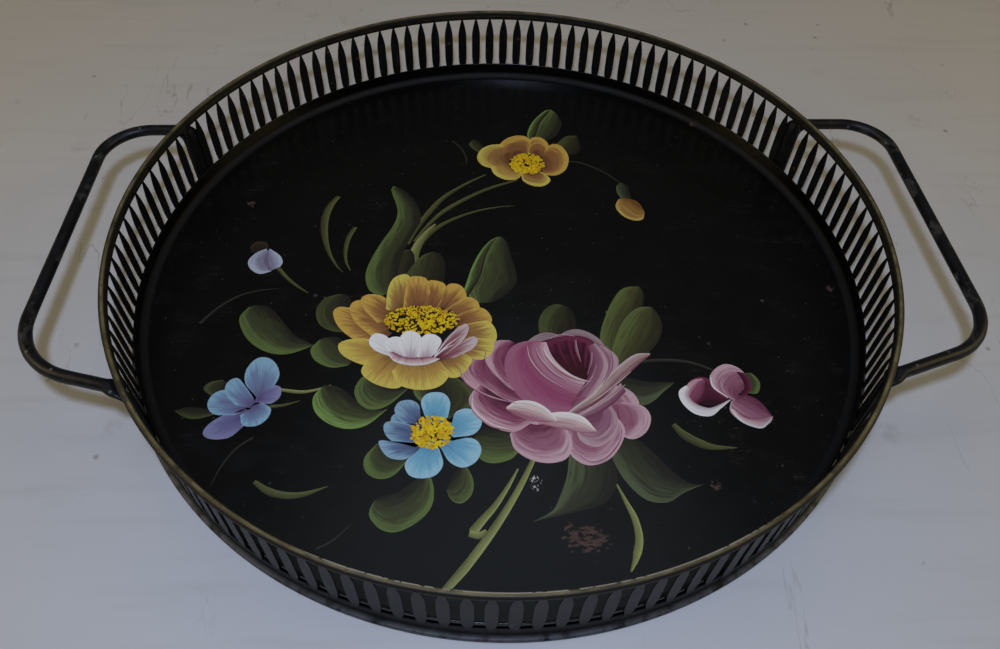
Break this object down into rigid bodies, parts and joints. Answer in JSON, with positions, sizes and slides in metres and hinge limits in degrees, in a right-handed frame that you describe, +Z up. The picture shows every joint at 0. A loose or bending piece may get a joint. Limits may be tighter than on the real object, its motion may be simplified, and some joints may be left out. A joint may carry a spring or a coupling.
{
  "type": "gallery tray",
  "caption": "Round black lacquered tin tray with painted flowers, an upright pierced gallery, a wired rim and a fixed bent rod handle at each side.",
  "frame": {"origin": "centre of the tray on the surface that it stands on", "axes": "+Z up; the handles reach out along +X and -X"},
  "size_m": [0.4483, 0.3864, 0.049],
  "materials": {
    "black_lacquer": "glossy black lacquer, worn",
    "gallery_paint": "satin black paint",
    "rim_gold": "dull gold paint, rubbed to metal along the crest",
    "handle_paint": "black paint, rubbed grey",
    "bare_wire": "plain iron wire",
    "flower_paint": "hand painted oil colour under varnish"
  },
  "bodies": {
    "root": {"pan": "black_lacquer", "gallery": "gallery_paint", "rim_wire": "bare_wire", "right_handle": "handle_paint", "left_handle": "handle_paint"}
  },
  "joints": []
}
